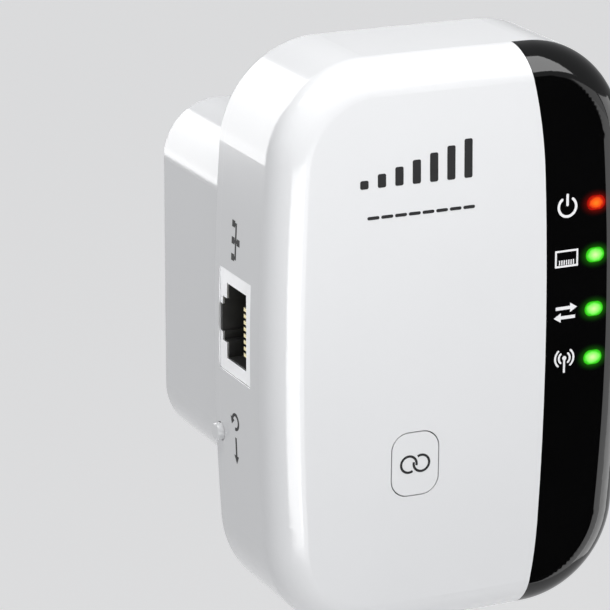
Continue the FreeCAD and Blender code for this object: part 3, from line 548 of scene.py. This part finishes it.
frontView = {"right": Vector((1, 0, 0)), "up": Vector((0, 0, 1)), "into": Vector((0, 1, 0))}
sideReading = {"right": Vector((0, 0, -1)), "up": Vector((0, -1, 0)), "into": Vector((1, 0, 0))}


def printMark(name, shapes, at, view, onto, material):
    # lays flat shapes, drawn in millimetres about a point, on the nodes' surface
    trees = []
    for member in onto:
        mesh = nodes[member].data
        cells = [face.vertices for face in mesh.polygons]
        trees.append(BVHTree.FromPolygons([v.co for v in mesh.vertices], cells))
    right, up, into = view["right"], view["up"], view["into"]
    vertices, faces = [], []
    for corners, cells in shapes:
        base = len(vertices)
        for x, z in corners:
            start = at + right * x * mm + up * z * mm - into * inkLayer["start"] * mm
            hits = [tree.ray_cast(start, into)[0] for tree in trees]
            spot = min((hit for hit in hits if hit), key=lambda hit: hit.dot(into))
            vertices.append(spot - into * inkLayer["raise"] * mm)
            vertices.append(spot + into * inkLayer["sink"] * mm)
        used = {}
        for cell in cells:
            faces.append([base + 2 * i for i in cell])
            faces.append([base + 2 * i + 1 for i in reversed(cell)])
            for a, b in zip(cell, cell[1:] + cell[:1]):
                used[(a, b)] = True
        for a, b in used:
            if (b, a) not in used:  # an outer edge, so it gets a side wall
                faces.append([base + 2 * a + 1, base + 2 * b + 1, base + 2 * b, base + 2 * a])
    return newPiece(name, vertices, faces, material)


def arrowHead(x, z, reach, spread, turn):
    # solid triangle, its tip towards the angle turn
    tip, side = math.radians(turn), math.radians(turn + 90)
    ux, uz = math.cos(tip), math.sin(tip)
    sx, sz = math.cos(side), math.sin(side)
    corners = [
        (x + sx * spread, z + sz * spread), (x - sx * spread, z - sz * spread),
        (x + ux * reach, z + uz * reach),
    ]
    return corners, [(0, 1, 2)]


signalMark = {"x": -7.2, "z": 26.3, "bars": 7, "width": 1.35, "pitch": 2.84, "lowest": 1.3, "step": 0.78}
shapes = []
for i in range(signalMark["bars"]):
    x = (i - (signalMark["bars"] - 1) / 2) * signalMark["pitch"]
    tall = signalMark["lowest"] + signalMark["step"] * i
    shapes.append(plate(x, tall / 2, signalMark["width"], tall, 0.3))
at = Vector((signalMark["x"] * mm, 0, bodyCentre.z + signalMark["z"] * mm))
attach(printMark("signalMark", shapes, at, frontView, ["front_cover"], greyInk), "case")

dashRow = {"x": -6.4, "z": 21.8, "count": 8, "length": 1.45, "pitch": 2.25, "width": 0.5}
shapes = []
for i in range(dashRow["count"]):
    x = (i - (dashRow["count"] - 1) / 2) * dashRow["pitch"]
    half = dashRow["length"] / 2
    shapes.append(ribbon([(x - half, 0), (x + half, 0)], dashRow["width"]))
at = Vector((dashRow["x"] * mm, 0, bodyCentre.z + dashRow["z"] * mm))
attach(printMark("dashRow", shapes, at, frontView, ["front_cover"], greyInk), "case")

pairingGlyph = {"radius": 1.3, "apart": 1.05, "width": 0.38, "gap": 24}
reach = math.degrees(math.acos(pairingGlyph["apart"] / pairingGlyph["radius"]))
shapes = []
for side, cross in ((-1, -reach), (1, 180 - reach)):
    start = cross + pairingGlyph["gap"]
    end = cross + 360 - pairingGlyph["gap"]
    line = arcPoints(side * pairingGlyph["apart"], 0, pairingGlyph["radius"], start, end, 40)
    shapes.append(ribbon(line, pairingGlyph["width"], cap=False))
at = centreOf("wps_button")
at.y = 0
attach(printMark("pairingGlyph", shapes, at, frontView, ["wps_button"], greyInk), "wps_button")

panelIcons = {"x": 18.2, "line": 0.42, "fine": 0.3}
line, fine = panelIcons["line"], panelIcons["fine"]

powerRing = {"drop": 0.1, "radius": 1.5, "from": 128, "to": 412, "stroke": (0.2, 1.75)}
strokeLow, strokeHigh = powerRing["stroke"]
ring = arcPoints(0, -powerRing["drop"], powerRing["radius"], powerRing["from"], powerRing["to"], 32)
powerIcon = [ribbon(ring, line), ribbon([(0, strokeLow), (0, strokeHigh)], line)]

port = {"width": 4.0, "height": 2.4, "teeth": 7, "pitch": 0.4, "low": -0.6, "tooth": (0.2, 0.75)}
tall, wide = port["height"] / 2, (port["width"] - fine) / 2
portIcon = [
    plate(0, -tall, port["width"], fine), plate(0, tall, port["width"], fine),
    plate(-wide, 0, fine, port["height"] - fine), plate(wide, 0, fine, port["height"] - fine),
]
for i in range(port["teeth"]):
    x = (i - (port["teeth"] - 1) / 2) * port["pitch"]
    portIcon.append(plate(x, port["low"], *port["tooth"]))

swap = {"apart": 0.75, "shaft": 2.5, "back": 0.45, "thicker": 0.1, "neck": 0.8, "head": (1.2, 0.75)}
swapIcon = []
for side, turn in ((-1, 180), (1, 0)):
    z = side * swap["apart"]
    swapIcon.append(plate(-side * swap["back"], z, swap["shaft"], line + swap["thicker"]))
    swapIcon.append(arrowHead(side * swap["neck"], z, *swap["head"], turn))

mast = {
    "top": 0.5, "dot": 0.18, "post": (-0.85, 0.34, 2.0), "waves": (0.95, 1.6), "sweep": 48, "line": 0.32,
}
dot = arcPoints(0, mast["top"], mast["dot"], 0, 360, 12)
mastIcon = [ribbon(dot, 2 * mast["dot"], closed=True), plate(0, *mast["post"])]
for turn in (0, 180):
    for radius in mast["waves"]:
        wave = arcPoints(0, mast["top"], radius, turn - mast["sweep"], turn + mast["sweep"], 14)
        mastIcon.append(ribbon(wave, mast["line"]))

icons = (("powerIcon", powerIcon), ("portIcon", portIcon), ("swapIcon", swapIcon), ("mastIcon", mastIcon))
for (name, shapes), lens in zip(icons, lensCentres):
    at = Vector((panelIcons["x"] * mm, 0, lens.z))
    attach(printMark(name, shapes, at, frontView, ["side_panel"], whiteInk), "case")

sideMarks = {"network": 16.2, "reset": -15.0, "line": 0.5, "node": 1.05, "row": 0.95, "spread": 2.6}
markY = centreOf("lan_jack_shield").y
line, node = sideMarks["line"], sideMarks["node"]
row, spread = sideMarks["row"], sideMarks["spread"]
networkMark = [plate(x, -row, node, node) for x in (-spread, 0, spread)]
networkMark += [plate(0, row, node, node), plate(0, 0, 2 * spread + line, line)]
stem = row - (node + line) / 2
networkMark += [plate(x, -(stem + line) / 2, line, stem) for x in (-spread, 0, spread)]
networkMark += [plate(0, (stem + line) / 2, line, stem)]
at = Vector((0, markY, bodyCentre.z + sideMarks["network"] * mm))
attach(printMark("networkMark", networkMark, at, sideReading, ["front_cover"], softInk), "case")

turnArrow = {"x": -2.7, "radius": 1.15, "from": -10, "to": 250, "head": (-3.1, -1.08, 1.1, 0.7, 340)}
wayArrow = {"x": 1.35, "length": 3.0, "head": (2.8, 0, 1.25, 0.85, 0)}
curl = arcPoints(turnArrow["x"], 0, turnArrow["radius"], turnArrow["from"], turnArrow["to"], 28)
resetMark = [ribbon(curl, line, cap=False), arrowHead(*turnArrow["head"])]
resetMark += [plate(wayArrow["x"], 0, wayArrow["length"], line), arrowHead(*wayArrow["head"])]
at = Vector((0, markY, bodyCentre.z + sideMarks["reset"] * mm))
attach(printMark("resetMark", resetMark, at, sideReading, ["front_cover"], softInk), "case")
print("marks printed")


# stage

def flatCard(name, width, height, z, material):
    half, tall = width / 2, height / 2
    corners = [(-half, -tall, z), (half, -tall, z), (half, tall, z), (-half, tall, z)]
    card = newPiece(name, corners, [(0, 1, 2, 3)], material)
    return card


def faceObject(thing, way, distance):
    # stands a light or card off the body, turned towards it
    away = Vector(way).normalized()
    thing.location = bodyCentre + away * distance
    thing.rotation_euler = away.to_track_quat("Z", "Y").to_euler()
    thing.visible_camera = False


palePaper = {
    "color": (0.86, 0.86, 0.865), "rough": 0.8, "patch": 400.0, "grain": 4.0, "depth": 0.02,
    "glow": 0.39, "size": 14.0, "below": 0.7,  # size and drop in metres
}
paper = finish("palePaper", palePaper)
shaderOf(paper).inputs["Emission Color"].default_value = (1, 1, 1, 1)
shaderOf(paper).inputs["Emission Strength"].default_value = palePaper["glow"]
flatCard("floor", palePaper["size"], palePaper["size"], cadBox[0].z - palePaper["below"], paper)

room = {"color": (0.97, 0.98, 1.0, 1), "strength": 0.37}
world = bpy.data.worlds.new("paleRoom")
world.use_nodes = True
background = world.node_tree.nodes["Background"]
background.inputs["Color"].default_value = room["color"]
background.inputs["Strength"].default_value = room["strength"]
scene.world = world

softboxes = {  # direction from the object, distance, width, height, radiance, surfaces it lights
    "overhead": ((-0.05, -0.30, 0.92), 0.33, 0.40, 0.22, 3.95, "matt"),
    "frontTop": ((0.06, -0.80, 0.55), 0.32, 0.24, 0.16, 2.1, "matt"),
    "frontFill": ((0.25, -0.93, -0.15), 1.20, 0.50, 0.40, 5.6, "matt"),
    "lowFront": ((-0.296, -0.909, -0.292), 0.70, 0.51, 0.27, 6.0, "gloss"),
    "lowFade": ((0.10, -0.95, -0.292), 0.65, 0.17, 0.25, 2.2, "gloss"),
    "backLeft": ((-0.36, 0.869, 0.22), 1.0, 0.54, 0.84, 3.4, "gloss"),
    "topBand": ((-0.25, -0.12, 0.95), 1.0, 1.00, 0.75, 4.0, "gloss"),
    "topSheen": ((0.36, -0.50, 0.79), 1.0, 0.50, 1.40, 4.8, "gloss"),
    "rightFade": ((0.71, -0.64, -0.29), 1.0, 0.353, 0.90, 1.0, "gloss"),
    "rightBand": ((0.928, -0.231, -0.29), 1.0, 0.60, 0.90, 2.2, "gloss"),
}
for name, (way, distance, width, height, radiance, use) in softboxes.items():
    light = bpy.data.lights.new(name, "AREA")
    light.shape = "RECTANGLE"
    light.size, light.size_y = width, height
    light.energy = radiance * math.pi * width * height
    lamp = bpy.data.objects.new(name, light)
    scene.collection.objects.link(lamp)
    faceObject(lamp, way, distance)
    lamp.visible_diffuse = use == "matt"
    lamp.visible_glossy = use == "gloss"

blackFelt = {  # a card that keeps the panel's reflections dark
    "color": (0.01, 0.01, 0.01), "rough": 0.9, "patch": 50.0, "grain": 2.0, "depth": 0.05,
    "way": (0.448, -0.843, -0.296), "distance": 0.6, "width": 0.21, "height": 0.50,
}
felt = finish("blackFelt", blackFelt)
flag = flatCard("blackFlag", blackFelt["width"], blackFelt["height"], 0, felt)
faceObject(flag, blackFelt["way"], blackFelt["distance"])
print("stage and lights done")


# camera

shot = {
    "azimuth": 24.54, "elevation": 17.2, "roll": 0.23, "distance": 537.9,
    "target": (-16.64, -34.58, 1.85), "lens": 209.12, "sensor": 36, "shift": (-0.0270, 0.0068),
    "clip": (0.02, 50),
}
turn, rise = math.radians(shot["azimuth"]), math.radians(shot["elevation"])
back = Vector((-math.sin(turn) * math.cos(rise), -math.cos(turn) * math.cos(rise), math.sin(rise)))
camera = bpy.data.cameras.new("camera")
camera.lens = shot["lens"]
camera.sensor_width = shot["sensor"]
camera.shift_x, camera.shift_y = shot["shift"]
camera.clip_start, camera.clip_end = shot["clip"]
rig = bpy.data.objects.new("camera", camera)
scene.collection.objects.link(rig)
roll = Matrix.Rotation(math.radians(shot["roll"]), 3, "Z").to_quaternion()
rig.rotation_mode = "QUATERNION"
rig.rotation_quaternion = back.to_track_quat("Z", "Y") @ roll
rig.location = (Vector(shot["target"]) + back * shot["distance"]) * mm
scene.camera = rig
scene.view_settings.view_transform = "Standard"
print("camera done")
